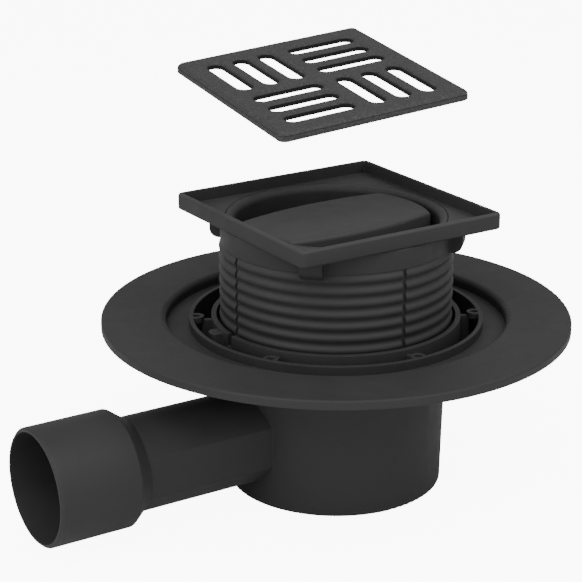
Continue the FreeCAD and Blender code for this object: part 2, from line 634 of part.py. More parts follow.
def make_riser():
    """Square frame on a ribbed tube, one moulding."""
    body = new_body("riser")
    plate = sketch_on(body, "frame_plan", "XY_Plane", height="frame_under")
    rectangle(plate, "-frame_half", "frame_half", "frame_half")
    extrude(body, "frame", plate, "frame_height")
    round_edges(body, "frame_corners", "frame_corner", is_upright)
    round_edges(body, "frame_edge", "frame_edge_round",
                lambda edge: abs(middle_of(edge).z - val("frame_top")) < close)
    round_edges(body, "frame_foot", "frame_foot_round",
                lambda edge: abs(middle_of(edge).z - val("frame_under")) < close)
    seat = sketch_on(body, "grate_seat_plan", "XY_Plane", height="frame_top")
    rectangle(seat, "-grate_seat_half", "grate_seat_half", "grate_seat_half")
    extrude(body, "grate_seat", seat, "grate_seat_depth", kind="PartDesign::Pocket")
    round_edges(body, "grate_seat_corners", "grate_seat_corner", lambda edge: is_upright(edge)
                and abs(abs(edge.CenterOfMass.x) - val("grate_seat_half")) < close)

    tube = sketch_on(body, "tube_section", "XZ_Plane")
    outline(tube, [
        ("riser_bore", "riser_foot"),
        ("riser_radius", "riser_foot"),
        ("riser_radius", "grate_seat"),
        ("riser_bore", "grate_seat"),
    ])
    lathe(body, "tube", tube)
    rib = sketch_on(body, "rib_section", "XZ_Plane")
    outline(rib, [
        ("corner_lug_inner", "rib_low"),
        ("riser_radius", "rib_low"),
        ("riser_radius", "rib_high"),
        ("corner_lug_inner", "rib_high"),
    ], arcs={1: "rib_arc"})
    one_rib = lathe(body, "rib", rib)
    doc.recompute()
    ribs = body.newObject("PartDesign::LinearPattern", "ribs")
    ribs.Originals = [one_rib]
    ribs.Direction = (origin_item(body, "Z_Axis"), [""])
    ribs.Reversed = True
    bind(ribs, "Length", "rib_run")
    bind(ribs, "Occurrences", "rib_count")
    body.Tip = ribs

    gap = sketch_on(body, "gap_plan", "XY_Plane", height="rib_high")
    rectangle(gap, "riser_radius", "gap_outer", "gap_half")
    one_gap = extrude(body, "gap", gap, "gap_run", kind="PartDesign::Pocket")
    around(body, "gaps", [one_gap], "gap_count")

    lug = sketch_on(body, "corner_lug_plan", "XY_Plane", height="corner_lug_top", turn="45")
    rectangle(lug, "corner_lug_inner", "corner_lug_reach", "corner_lug_half")
    one_lug = extrude(body, "corner_lug", lug, "corner_lug_height", back=True)
    around(body, "corner_lugs", [one_lug], "gap_count")

    inside = sketch_on(body, "opening_section", "XZ_Plane")
    outline(inside, [
        (0, "riser_foot"),
        ("riser_bore", "riser_foot"),
        ("riser_bore", "cup_seat"),
        ("cup_seat_radius", "cup_seat"),
        ("cup_seat_radius", "grate_seat"),
        (0, "grate_seat"),
    ])
    lathe(body, "opening", inside, kind="PartDesign::Groove")
    reach = val("corner_lug_reach")
    round_edges(body, "corner_lug_edges", "corner_lug_round", lambda edge: not is_upright(edge)
                and abs(middle_of(edge).z - val("corner_lug_bottom")) < close
                and abs(math.hypot(middle_of(edge).x, middle_of(edge).y) - reach) < close)
    return body


def make_trap_cup():
    """Lift-out cup with the overflow pipe; its rim lies in the frame."""
    body = new_body("trap_cup")
    outside = sketch_on(body, "cup_section", "XZ_Plane")
    outline(outside, [
        (0, "cup_bottom"),
        ("cup_foot_radius", "cup_bottom"),
        ("cup_top_radius", "cup_taper_top"),
        ("cup_top_radius", "ring_groove_bottom"),
        ("ring_groove_radius", "ring_groove_bottom"),
        ("ring_groove_radius", "ring_groove_top"),
        ("cup_top_radius", "ring_groove_top"),
        ("cup_top_radius", "cup_seat"),
        ("cup_flange_radius", "cup_seat"),
        ("cup_flange_radius", "grate_seat"),
        (0, "grate_seat"),
    ])
    lathe(body, "cup", outside)
    inside = sketch_on(body, "cup_hollow_section", "XZ_Plane")
    outline(inside, [
        (0, "cup_inside_floor"),
        ("cup_bore_foot", "cup_inside_floor"),
        ("cup_mouth_radius", "cup_taper_top"),
        ("cup_mouth_radius", "grate_seat"),
        (0, "grate_seat"),
    ])
    lathe(body, "cup_hollow", inside, kind="PartDesign::Groove")
    round_edges(body, "cup_mouth", "cup_mouth_round",
                lambda edge: is_circle(edge, "cup_mouth_radius", "grate_seat"))
    weir = sketch_on(body, "weir_plan", "XY_Plane", height="cup_inside_floor", turn="trap_turn_angle")
    stadium(weir, "weir_straight", "weir_arc")
    extrude(body, "weir", weir, "weir_height")
    weir_bore = sketch_on(body, "weir_bore_plan", "XY_Plane", height="weir_top", turn="trap_turn_angle")
    stadium(weir_bore, "weir_straight", "weir_bore_arc")
    extrude(body, "weir_bore", weir_bore, "weir_height + cup_floor", kind="PartDesign::Pocket")
    return body


def make_cup_seal():
    """Round rubber ring between the cup and the bore of the riser."""
    body = new_body("cup_seal")
    section = sketch_on(body, "ring_seal_section", "XZ_Plane")
    circle_at(section, "ring_seal_radius", x="ring_seal_circle", y="ring_seal_middle")
    lathe(body, "ring", section)
    return body


def make_trap_bell():
    """Bell over the overflow pipe: bowed long sides, ends round like the cup, on four feet."""
    body = new_body("trap_bell")

    def plan_of(name):
        return sketch_on(body, name, "XY_Plane", height="cup_inside_floor", turn="trap_turn_angle")

    plan = plan_of("bell_plan")
    bowed_round(plan, "bell_radius", "bell_side_radius", "bell_side_centre")
    extrude(body, "bell", plan, "bell_height")
    round_edges(body, "bell_top_edge", "bell_round",
                lambda edge: abs(middle_of(edge).z - val("bell_top")) < close)
    hollow = plan_of("bell_hollow_plan")
    bowed_round(hollow, "bell_inner_radius", "bell_inner_side", "bell_side_centre")
    extrude(body, "bell_hollow", hollow, "bell_hollow", kind="PartDesign::Pocket", back=True)
    side_gap = plan_of("side_gap_plan")
    rectangle(side_gap, "-bell_gap_half_length", "bell_gap_half_length", "bell_radius")
    extrude(body, "side_gap", side_gap, "bell_foot_height", kind="PartDesign::Pocket", back=True)
    end_gap = plan_of("end_gap_plan")
    rectangle(end_gap, "-bell_radius", "bell_radius", "bell_gap_half_width")
    extrude(body, "end_gap", end_gap, "bell_foot_height", kind="PartDesign::Pocket", back=True)
    return body


def make_grate():
    """Square grate with round-ended slots, each quarter turned against the next; lifted off."""
    body = new_body("grate")
    plate = sketch_on(body, "grate_plan", "XY_Plane")
    rectangle(plate, "-grate_half", "grate_half", "grate_half")
    extrude(body, "plate", plate, "grate_thickness")
    round_edges(body, "plate_corners", "grate_corner", is_upright)
    round_edges(body, "plate_bevel", "grate_bevel",
                lambda edge: abs(middle_of(edge).z - val("grate_thickness")) < close,
                kind="PartDesign::Chamfer")
    hollow = sketch_on(body, "grate_hollow_plan", "XY_Plane")
    rectangle(hollow, "-grate_hollow_half", "grate_hollow_half", "grate_hollow_half")
    extrude(body, "grate_hollow", hollow, "grate_hollow_depth", kind="PartDesign::Pocket", back=True)
    slots = sketch_on(body, "slot_plan", "XY_Plane", height="grate_thickness")
    for k in range(round(val("slot_count"))):
        stadium(slots, "slot_straight", "slot_arc", x="quarter_centre", y="slot_%d_middle" % (k + 1))
    quarter = extrude(body, "quarter_slots", slots, "grate_thickness", kind="PartDesign::Pocket")
    around(body, "slots", [quarter], "gap_count")
    inside = val("grate_half") - val("grate_rim")
    round_edges(body, "slot_edges", "slot_round",
                lambda edge: abs(middle_of(edge).z - val("grate_thickness")) < close
                and max(abs(middle_of(edge).x), abs(middle_of(edge).y)) < inside)
    body.Placement = FreeCAD.Placement(
        FreeCAD.Vector(val("grate_aside"), val("grate_back"), val("grate_lift")),
        FreeCAD.Rotation(val("grate_turn_angle"), val("grate_lean_angle"), val("grate_tip_angle")))
    return body


fill_sheet("Sizes", [(alias, str(value)) for alias, value, meaning in sizes])
slot_rows = round(val("slot_count"))
for k in range(slot_rows):
    offset = k - (slot_rows - 1) / 2
    places.append(("slot_%d_middle" % (k + 1), "quarter_centre + slot_pitch * (%g)" % offset))
for alias, formula in places:
    sheet_of.setdefault(alias, "Places")
fill_sheet("Places", [(alias, "=" + linked(formula).replace("Places.", "")) for alias, formula in places])

pieces = [
    make_trap_body(),
    make_riser_seal(),
    make_riser(),
    make_trap_cup(),
    make_cup_seal(),
    make_trap_bell(),
    make_grate(),
]
doc.recompute()

for item in doc.Objects:
    if "Invalid" in item.State or "Error" in item.State:
        raise RuntimeError("%s did not compute" % item.Label)
for piece in pieces:
    if piece.Shape.isNull() or not piece.Shape.isValid():
        raise RuntimeError("%s has no valid shape" % piece.Label)

os.makedirs("parts", exist_ok=True)
for piece in pieces:
    piece.Shape.exportStep("parts/%s.step" % piece.Label)
    print(piece.Label, len(piece.Shape.Solids), "solid,", round(piece.Shape.Volume / 1000, 2), "cm3")
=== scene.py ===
import math

import bmesh
import bpy
from mathutils import Euler, Matrix, Vector


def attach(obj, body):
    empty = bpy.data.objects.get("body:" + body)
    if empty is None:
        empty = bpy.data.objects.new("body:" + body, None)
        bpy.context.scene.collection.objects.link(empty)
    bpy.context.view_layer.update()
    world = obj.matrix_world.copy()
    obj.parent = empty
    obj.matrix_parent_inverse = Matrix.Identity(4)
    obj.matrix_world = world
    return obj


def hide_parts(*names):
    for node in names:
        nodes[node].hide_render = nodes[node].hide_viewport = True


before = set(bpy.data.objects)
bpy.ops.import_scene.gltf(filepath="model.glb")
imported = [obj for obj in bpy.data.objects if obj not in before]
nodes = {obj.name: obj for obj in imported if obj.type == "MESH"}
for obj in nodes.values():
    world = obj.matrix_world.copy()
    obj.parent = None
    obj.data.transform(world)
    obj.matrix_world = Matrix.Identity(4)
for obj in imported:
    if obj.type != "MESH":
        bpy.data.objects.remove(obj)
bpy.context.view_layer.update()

mm = 0.001
fullTurn = 2 * math.pi
weldDistance = 0.002 * mm  # points nearer to each other than this become one


# Small helpers for node trees: one adds a node, wires or fills its sockets and hands it back.

def addNode(tree, kind, inputs=None, **settings):
    node = tree.nodes.new(kind)
    for key, value in settings.items():
        setattr(node, key, value)
    for key, value in (inputs or {}).items():
        if isinstance(value, bpy.types.NodeSocket):
            tree.links.new(value, node.inputs[key])
        else:
            node.inputs[key].default_value = value
    return node


def calc(tree, operation, first, second=0.0, third=0.0):
    node = addNode(tree, "ShaderNodeMath", {0: first, 1: second, 2: third}, operation=operation)
    return node.outputs[0]


def place(tree, x=0.0, y=0.0, z=0.0):
    return addNode(tree, "ShaderNodeCombineXYZ", {0: x, 1: y, 2: z}).outputs[0]


# Shader groups that more than one material uses.

def shaderGroup(name, inputs, outputs):
    group = bpy.data.node_groups.new(name, "ShaderNodeTree")
    for label, (kind, value) in inputs.items():
        socket = group.interface.new_socket(label, in_out="INPUT", socket_type="NodeSocket" + kind)
        socket.default_value = value
    for label, kind in outputs.items():
        group.interface.new_socket(label, in_out="OUTPUT", socket_type="NodeSocket" + kind)
    return group, group.nodes.new("NodeGroupInput").outputs, group.nodes.new("NodeGroupOutput").inputs


def makeMouldGrain():
    # Spark-eroded mould skin: a fine even grain with pits, slow clouds, and flecks where the grain is high.
    pitSpread, pitDepth, fleckFull = 2.0, 0.4, 0.78
    group, given, result = shaderGroup(
        "mouldGrain",
        {"Vector": ("Vector", (0, 0, 0)), "Grain Size": ("Float", 0.0003),
         "Cloud Size": ("Float", 0.012), "Fleck Start": ("Float", 0.62)},
        {"Height": "Float", "Cloud": "Float", "Speck": "Float"})
    fine = addNode(group, "ShaderNodeTexNoise", {
        "Vector": given["Vector"], "Scale": calc(group, "DIVIDE", 1.0, given["Grain Size"]),
        "Detail": 3.0, "Roughness": 0.65})
    cloud = addNode(group, "ShaderNodeTexNoise", {
        "Vector": given["Vector"], "Scale": calc(group, "DIVIDE", 1.0, given["Cloud Size"]),
        "Detail": 4.0, "Roughness": 0.55, "Distortion": 0.4})
    pits = addNode(group, "ShaderNodeTexVoronoi", {
        "Vector": given["Vector"],
        "Scale": calc(group, "DIVIDE", 1.0 / pitSpread, given["Grain Size"])})
    depth = addNode(group, "ShaderNodeMapRange", {
        "Value": pits.outputs["Distance"],
        "From Min": 0.0, "From Max": 0.5, "To Min": 0.0, "To Max": pitDepth})
    height = calc(group, "ADD", fine.outputs["Fac"], depth.outputs["Result"])
    group.links.new(height, result["Height"])
    group.links.new(cloud.outputs["Fac"], result["Cloud"])
    speck = addNode(group, "ShaderNodeMapRange", {
        "Value": fine.outputs["Fac"],
        "From Min": given["Fleck Start"], "From Max": fleckFull, "To Min": 0.0, "To Max": 1.0})
    group.links.new(speck.outputs["Result"], result["Speck"])
    return group


def makeSoftEdge():
    # Edges broken by the mould and by handling: a rounded normal, and a mask that follows the edge. The
    # finishes lighten the edge along this mask, as rubbed wear and a painted highlight.
    # The mask starts and is full at these cosines between the rounded and the flat normal.
    maskStart, maskFull, bevelSamples = 0.985, 0.80, 6
    group, given, result = shaderGroup(
        "softEdge",
        {"Normal": ("Vector", (0, 0, 0)), "Radius": ("Float", 0.0004), "Breakup": ("Float", 0.5)},
        {"Normal": "Vector", "Edge": "Float"})
    rounded = addNode(group, "ShaderNodeBevel", {
        "Radius": given["Radius"], "Normal": given["Normal"]}, samples=bevelSamples)
    smooth = addNode(group, "ShaderNodeBevel", {"Radius": given["Radius"]}, samples=bevelSamples)
    flat = addNode(group, "ShaderNodeNewGeometry")
    agree = addNode(group, "ShaderNodeVectorMath", {
        0: smooth.outputs[0], 1: flat.outputs["Normal"]}, operation="DOT_PRODUCT")
    bend = addNode(group, "ShaderNodeMapRange", {
        "Value": agree.outputs["Value"],
        "From Min": maskStart, "From Max": maskFull, "To Min": 0.0, "To Max": 1.0})
    group.links.new(rounded.outputs[0], result["Normal"])
    group.links.new(calc(group, "MULTIPLY", bend.outputs["Result"], given["Breakup"]), result["Edge"])
    return group


def makeDustAndPaintedLight():
    # A thin film of dust that lies on faces that look up, and thins out in patches. At a high amount it
    # also paints light onto faces that look up.
    levelStart, patchStart, patchFull, thinnest = 0.2, 0.35, 0.7, 0.6
    group, given, result = shaderGroup(
        "dustAndPaintedLight",
        {"Vector": ("Vector", (0, 0, 0)), "Patch Size": ("Float", 0.03), "Amount": ("Float", 0.3)},
        {"Dust And Light": "Float"})
    facing = addNode(group, "ShaderNodeNewGeometry")
    upward = addNode(group, "ShaderNodeSeparateXYZ", {0: facing.outputs["Normal"]})
    level = addNode(group, "ShaderNodeMapRange", {
        "Value": upward.outputs["Z"],
        "From Min": levelStart, "From Max": 1.0, "To Min": 0.0, "To Max": 1.0})
    patch = addNode(group, "ShaderNodeTexNoise", {
        "Vector": given["Vector"], "Scale": calc(group, "DIVIDE", 1.0, given["Patch Size"]),
        "Detail": 6.0, "Roughness": 0.7})
    thin = addNode(group, "ShaderNodeMapRange", {
        "Value": patch.outputs["Fac"],
        "From Min": patchStart, "From Max": patchFull, "To Min": thinnest, "To Max": 1.0})
    upwardPatches = calc(group, "MULTIPLY", level.outputs["Result"], thin.outputs["Result"])
    group.links.new(calc(group, "MULTIPLY", upwardPatches, given["Amount"]), result["Dust And Light"])
    return group


mouldGrain = makeMouldGrain()
softEdge = makeSoftEdge()
dustAndPaintedLight = makeDustAndPaintedLight()

# One entry for each finish. The tones are linear colours: the skin's own, its clouds, flecks, edges
# lightened as rubbed wear and painted highlight, and dust, which on the riser also paints light onto faces
# that look up. Grain, cloud, depth and edgeRadius are in metres, the rest are shares from 0 to 1.
finishLooks = {
    "bodyPlastic": {
        "tone": (0.0185, 0.0185, 0.0190), "cloudTone": (0.0235, 0.0235, 0.0240),
        "speckTone": (0.030, 0.030, 0.031), "edgeWearAndHighlightTone": (0.060, 0.060, 0.061),
        "dustAndLightTone": (0.110, 0.108, 0.105), "roughness": (0.56, 0.68),
        "specular": 0.22, "grain": 0.00028, "cloud": 0.014, "bump": 0.22,
        "depth": 0.00006, "fleckStart": 0.6, "edgeRadius": 0.0005,
        "edge": 0.3, "dustAndLight": 0.07},
    "riserPlastic": {
        "tone": (0.0195, 0.0195, 0.0199), "cloudTone": (0.0245, 0.0245, 0.0250),
        "speckTone": (0.029, 0.029, 0.030), "edgeWearAndHighlightTone": (0.058, 0.058, 0.059),
        "dustAndLightTone": (0.110, 0.108, 0.105), "roughness": (0.56, 0.68),
        "specular": 0.22, "grain": 0.00026, "cloud": 0.01, "bump": 0.2,
        "depth": 0.00006, "fleckStart": 0.6, "edgeRadius": 0.0005,
        # The riser's dust amount is high, so the dust film also paints light onto faces that look up, such
        # as the grate seat, which the grate shades.
        "edge": 0.25, "dustAndLight": 0.3},
    # trapPlasticPaintedLight: the same black plastic with every tone raised, painted light on the bell,
    # which the grate above shades.
    "trapPlasticPaintedLight": {
        "tone": (0.0330, 0.0330, 0.0335), "cloudTone": (0.0380, 0.0380, 0.0385),
        "speckTone": (0.046, 0.046, 0.047), "edgeWearAndHighlightTone": (0.070, 0.070, 0.071),
        "dustAndLightTone": (0.120, 0.118, 0.115), "roughness": (0.56, 0.68),
        "specular": 0.22, "grain": 0.00022, "cloud": 0.012, "bump": 0.16,
        "depth": 0.00006, "fleckStart": 0.6, "edgeRadius": 0.0005,
        "edge": 0.25, "dustAndLight": 0.07},
    "gratePlastic": {
        "tone": (0.0225, 0.0225, 0.0230), "cloudTone": (0.0300, 0.0300, 0.0305),
        "speckTone": (0.060, 0.060, 0.061), "edgeWearAndHighlightTone": (0.066, 0.066, 0.067),
        "dustAndLightTone": (0.110, 0.108, 0.105), "roughness": (0.56, 0.68),
        "specular": 0.22, "grain": 0.00105, "cloud": 0.016, "bump": 0.9,
        "depth": 0.00018, "fleckStart": 0.42, "edgeRadius": 0.0004,
        "edge": 0.3, "dustAndLight": 0.06},
    # slotWallPaintedShade: the grate plastic with a much darker tone, painted shade on the slot walls.
    "slotWallPaintedShade": {
        "tone": (0.0060, 0.0060, 0.0062), "cloudTone": (0.0085, 0.0085, 0.0087),
        "speckTone": (0.012, 0.012, 0.012), "edgeWearAndHighlightTone": (0.020, 0.020, 0.020),
        "dustAndLightTone": (0.060, 0.060, 0.060), "roughness": (0.60, 0.75),
        "specular": 0.16, "grain": 0.00060, "cloud": 0.006, "bump": 0.4,
        "depth": 0.00010, "fleckStart": 0.5, "edgeRadius": 0.0003,
        "edge": 0.1, "dustAndLight": 0.0},
    "sealRubber": {
        "tone": (0.0100, 0.0100, 0.0100), "cloudTone": (0.0150, 0.0150, 0.0150),
        "speckTone": (0.020, 0.020, 0.020), "edgeWearAndHighlightTone": (0.030, 0.030, 0.030),
        "dustAndLightTone": (0.100, 0.100, 0.100), "roughness": (0.66, 0.80),
        "specular": 0.22, "grain": 0.00040, "cloud": 0.008, "bump": 0.1,
        "depth": 0.00006, "fleckStart": 0.6, "edgeRadius": 0.0003,
        "edge": 0.3, "dustAndLight": 0.1},
}


def mixTone(tree, amount, first, second):
    node = addNode(tree, "ShaderNodeMix", data_type="RGBA")
    for key, value in ((0, amount), (6, first), (7, second)):
        if isinstance(value, bpy.types.NodeSocket):
            tree.links.new(value, node.inputs[key])
        else:
            node.inputs[key].default_value = (*value, 1)
    return node.outputs[2]


def mouldedFinish(name):
    look = finishLooks[name]
    material = bpy.data.materials.new(name)
    material.use_nodes = True
    tree = material.node_tree
    tree.nodes.clear()
    where = addNode(tree, "ShaderNodeTexCoord").outputs["Object"]
    grain = addNode(tree, "ShaderNodeGroup", {
        "Vector": where, "Grain Size": look["grain"], "Cloud Size": look["cloud"],
        "Fleck Start": look["fleckStart"]}, node_tree=mouldGrain)
    bump = addNode(tree, "ShaderNodeBump", {
        "Height": grain.outputs["Height"], "Strength": look["bump"], "Distance": look["depth"]})
    edge = addNode(tree, "ShaderNodeGroup", {
        "Normal": bump.outputs["Normal"], "Radius": look["edgeRadius"], "Breakup": look["edge"]},
        node_tree=softEdge)
    dustAndLightMask = addNode(tree, "ShaderNodeGroup", {"Vector": where, "Amount": look["dustAndLight"]}, node_tree=dustAndPaintedLight)

    cloudy = mixTone(tree, grain.outputs["Cloud"], look["tone"], look["cloudTone"])
    flecked = mixTone(tree, grain.outputs["Speck"], cloudy, look["speckTone"])
    # Lighter edges: rubbed wear, and a painted highlight along the edge.
    edgeWornAndLit = mixTone(tree, edge.outputs["Edge"], flecked, look["edgeWearAndHighlightTone"])
    # Dust on faces that look up; where the amount is high, this also paints light.
    dustedAndLit = mixTone(tree, dustAndLightMask.outputs["Dust And Light"], edgeWornAndLit, look["dustAndLightTone"])

    # Rubbed edges are a little smoother than the skin, flecks a little rougher.
    cloudStart, cloudFull, edgeRoughness, speckRoughness = 0.3, 0.7, -0.10, 0.05
    low, high = look["roughness"]
    sheen = addNode(tree, "ShaderNodeMapRange", {
        "Value": grain.outputs["Cloud"],
        "From Min": cloudStart, "From Max": cloudFull, "To Min": low, "To Max": high})
    worn = calc(tree, "MULTIPLY_ADD", edge.outputs["Edge"], edgeRoughness, sheen.outputs["Result"])
    rough = calc(tree, "MULTIPLY_ADD", grain.outputs["Speck"], speckRoughness, worn)
    skin = addNode(tree, "ShaderNodeBsdfPrincipled", {
        "Base Color": dustedAndLit, "Roughness": rough, "Normal": edge.outputs["Normal"],
        "Specular IOR Level": look["specular"]})
    addNode(tree, "ShaderNodeOutputMaterial", {"Surface": skin.outputs["BSDF"]})
    return material


finishes = {name: mouldedFinish(name) for name in finishLooks}
nodeFinish = {
    "trap_body": "bodyPlastic",
    "riser": "riserPlastic",
    "trap_cup": "riserPlastic",
    # The bell's finish has raised tones that paint light onto it.
    "trap_bell": "trapPlasticPaintedLight",
    "grate": "gratePlastic",
    "riser_seal": "sealRubber",
    "cup_seal": "sealRubber",
}
for name, node in nodes.items():
    node.data.materials.clear()
    node.data.materials.append(finishes[nodeFinish[name]])
print("finishes done")


# Geometry Nodes: a section drawn as a line of points is run round a path, and parts are repeated.

def geometryTree(name, sizes, counts):
    # Sizes are lengths in metres or angles, counts are whole numbers. The modifier gives their values.
    tree = bpy.data.node_groups.new(name, "GeometryNodeTree")
    tree.interface.new_socket("Section", in_out="INPUT", socket_type="NodeSocketGeometry")
    for label in sizes:
        tree.interface.new_socket(label, in_out="INPUT", socket_type="NodeSocketFloat")
    for label in counts:
        tree.interface.new_socket(label, in_out="INPUT", socket_type="NodeSocketInt")
    tree.interface.new_socket("Finish", in_out="INPUT", socket_type="NodeSocketMaterial")
    tree.interface.new_socket("Geometry", in_out="OUTPUT", socket_type="NodeSocketGeometry")
    return tree, tree.nodes.new("NodeGroupInput").outputs


def closeTree(tree, given, geometry):
    whole = addNode(tree, "GeometryNodeRealizeInstances", {"Geometry": geometry})
    merged = addNode(tree, "GeometryNodeMergeByDistance", {
        "Geometry": whole.outputs[0], "Distance": weldDistance})
    dressed = addNode(tree, "GeometryNodeSetMaterial", {
        "Geometry": merged.outputs[0], "Material": given["Finish"]})
    addNode(tree, "NodeGroupOutput", {"Geometry": dressed.outputs[0]})
    return tree


def sweep(tree, rail, section, caps=False):
    level = addNode(tree, "GeometryNodeSetCurveNormal", {"Curve": rail}, mode="Z_UP")
    return addNode(tree, "GeometryNodeCurveToMesh", {
        "Curve": level.outputs[0], "Profile Curve": section, "Fill Caps": caps}).outputs[0]


def sectionLine(tree, given):
    return addNode(tree, "GeometryNodeMeshToCurve", {"Mesh": given["Section"]}).outputs[0]


def roundedBox(tree, width, height, corner, steps):
    box = addNode(tree, "GeometryNodeCurvePrimitiveQuadrilateral", {"Width": width, "Height": height})
    rounded = addNode(tree, "GeometryNodeFilletCurve", {
        "Curve": box.outputs[0], "Radius": corner, "Count": steps, "Limit Radius": True}, mode="POLY")
    return rounded.outputs[0]


def roundRepeat(tree, geometry, count, first=0.0):
    # Copies all round the upright axis.
    seeds = addNode(tree, "GeometryNodePoints", {"Count": count})
    step = calc(tree, "DIVIDE", fullTurn, count)
    index = addNode(tree, "GeometryNodeInputIndex").outputs[0]
    turn = calc(tree, "MULTIPLY_ADD", index, step, first)
    return addNode(tree, "GeometryNodeInstanceOnPoints", {
        "Points": seeds.outputs[0], "Instance": geometry, "Rotation": place(tree, z=turn)}).outputs[0]


def arcPoints(centre, radius, start, end, steps):
    # Points of an arc in a section, from one angle to another, in degrees.
    angles = [math.radians(start + (end - start) * i / steps) for i in range(steps + 1)]
    return [(centre[0] + radius * math.cos(a), centre[1] + radius * math.sin(a)) for a in angles]


def grow(tree, values, finish, points, closed=True):
    # Draws the section, lets the tree work on it, and hands back the plain mesh.
    mesh = bpy.data.meshes.new(tree.name)
    pairs = [(i, i + 1) for i in range(len(points) - 1)] + ([(len(points) - 1, 0)] if closed else [])
    mesh.from_pydata([(x * mm, y * mm, 0) for x, y in points], pairs, [])
    holder = bpy.data.objects.new(tree.name, mesh)
    bpy.context.scene.collection.objects.link(holder)
    modifier = holder.modifiers.new(tree.name, "NODES")
    modifier.node_group = tree
    for item in tree.interface.items_tree:
        if item.item_type == "SOCKET" and item.in_out == "INPUT" and item.name != "Section":
            modifier[item.identifier] = finish if item.name == "Finish" else values[item.name]
    plain = bpy.data.meshes.new_from_object(holder.evaluated_get(bpy.context.evaluated_depsgraph_get()))
    holder.modifiers.remove(modifier)
    bpy.data.objects.remove(holder)
    return plain


def joinPiece(name, meshes, finish, spot=None, paintedShadeFinish=None):
    # With a wall finish, the steep faces of every mesh but the first are dressed with it; that finish is a
    # much darker tone that paints shade onto them.
    steepRise, sharpAngle = 0.35, math.radians(32)
    whole = bmesh.new()
    whole.from_mesh(meshes[0])
    firstCount = len(whole.faces)
    for mesh in meshes[1:]:
        whole.from_mesh(mesh)
    if paintedShadeFinish:
        for face in list(whole.faces)[firstCount:]:
            face.normal_update()
            face.material_index = int(abs(face.normal.z) < steepRise)
    bmesh.ops.remove_doubles(whole, verts=whole.verts, dist=weldDistance)
    bmesh.ops.dissolve_degenerate(whole, edges=whole.edges, dist=weldDistance / 2)
    bmesh.ops.recalc_face_normals(whole, faces=whole.faces)
    if spot:
        bmesh.ops.transform(whole, matrix=spot, verts=whole.verts)
    mesh = bpy.data.meshes.new(name)
    whole.to_mesh(mesh)
    whole.free()
    mesh.materials.append(finish)
    if paintedShadeFinish:
        mesh.materials.append(paintedShadeFinish)
    mesh.shade_smooth()
    mesh.set_sharp_from_angle(angle=sharpAngle)
    piece = bpy.data.objects.new(name, mesh)
    bpy.context.scene.collection.objects.link(piece)
    return piece


# Grate: a rim run round the square, and a plate with a ring of slots with rounded edges.

grateSizes = {
    "half": 46.2, "thickness": 4.0, "plate": 2.6, "rim": 3.2, "corner": 3.5, "bevel": 1.4,
    "slotLength": 33.0, "slotWidth": 7.4, "slotRound": 1.2, "slotPitch": 12.6, "slotCount": 3,
    "quarterCentre": 20.25, "spot": (8.0, 25.0, 169.4), "tip": 7.35, "lean": -4.35, "turn": -2.5,
    "edgeBreak": 0.4, "bevelRun": [(-0.5, -0.7), (-0.1, -0.2)],  # bevelRun: from the bevel's foot
    "grooveDepth": 0.4, "grooveTop": 0.1, "grooveFoot": 0.4, "grooveEnd": 0.6,
    "cornerSteps": 8, "endSteps": 9, "roundSteps": 5,
}


def squareRunTree():
    tree, given = geometryTree("squareRun", ["Half", "Corner"], ["Corner Steps"])
    side = calc(tree, "MULTIPLY", given["Half"], 2.0)
    rail = roundedBox(tree, side, side, given["Corner"], given["Corner Steps"])
    return closeTree(tree, given, sweep(tree, rail, sectionLine(tree, given)))


def slotPlateTree():
    quarters, nearlyHalf = 4, 0.49999  # a full half would let a slot's two end arcs meet
    tree, given = geometryTree(
        "slotPlate",
        ["Half", "Top", "Plate", "Slot Length", "Slot Width", "Slot Round", "Slot Pitch", "Quarter Centre"],
        ["Slot Count", "End Steps"])

    def ringOfSlots(geometry, height):
        # A row of slots in each quarter, each quarter's row turned by a right angle from the one before.
        rows = calc(tree, "SUBTRACT", given["Slot Count"], 1.0)
        reach = calc(tree, "MULTIPLY", rows, given["Slot Pitch"])
        start = calc(tree, "MULTIPLY_ADD", reach, -0.5, given["Quarter Centre"])
        line = addNode(tree, "GeometryNodeMeshLine", {
            "Count": given["Slot Count"],
            "Start Location": place(tree, given["Quarter Centre"], start, height),
            "Offset": place(tree, y=given["Slot Pitch"])}, mode="OFFSET")
        quarter = addNode(tree, "GeometryNodeInstanceOnPoints", {
            "Points": line.outputs[0], "Instance": geometry})
        return addNode(tree, "GeometryNodeRealizeInstances", {
            "Geometry": roundRepeat(tree, quarter.outputs[0], quarters)}).outputs[0]

    def slotEdge(spread):
        # Outline of a slot, spread outwards all round.
        double = calc(tree, "MULTIPLY", spread, 2.0)
        length = calc(tree, "ADD", given["Slot Length"], double)
        width = calc(tree, "ADD", given["Slot Width"], double)
        endRadius = calc(tree, "MULTIPLY", width, nearlyHalf)
        return roundedBox(tree, length, width, endRadius, given["End Steps"])

    side = calc(tree, "MULTIPLY", given["Half"], 2.0)
    sheets = []
    under = calc(tree, "SUBTRACT", given["Top"], given["Plate"])
    for spread, height in ((given["Slot Round"], given["Top"]), (0.0, under)):
        slots = ringOfSlots(slotEdge(spread), 0.0)
        border = addNode(tree, "GeometryNodeCurvePrimitiveQuadrilateral", {
            "Width": side, "Height": side})
        both = addNode(tree, "GeometryNodeJoinGeometry")
        tree.links.new(slots, both.inputs[0])
        tree.links.new(border.outputs[0], both.inputs[0])
        sheet = addNode(tree, "GeometryNodeFillCurve", {"Curve": both.outputs[0]}, mode="TRIANGLES")
        lifted = addNode(tree, "GeometryNodeTransform", {
            "Geometry": sheet.outputs[0], "Translation": place(tree, z=height)})
        sheets.append(lifted.outputs[0])
    wall = sweep(tree, slotEdge(0.0), sectionLine(tree, given))
    sheets.append(ringOfSlots(wall, given["Top"]))
    joined = addNode(tree, "GeometryNodeJoinGeometry")
    for sheet in sheets:
        tree.links.new(sheet, joined.inputs[0])
    return closeTree(tree, given, joined.outputs[0])


squareRun = squareRunTree()
slotPlate = slotPlateTree()


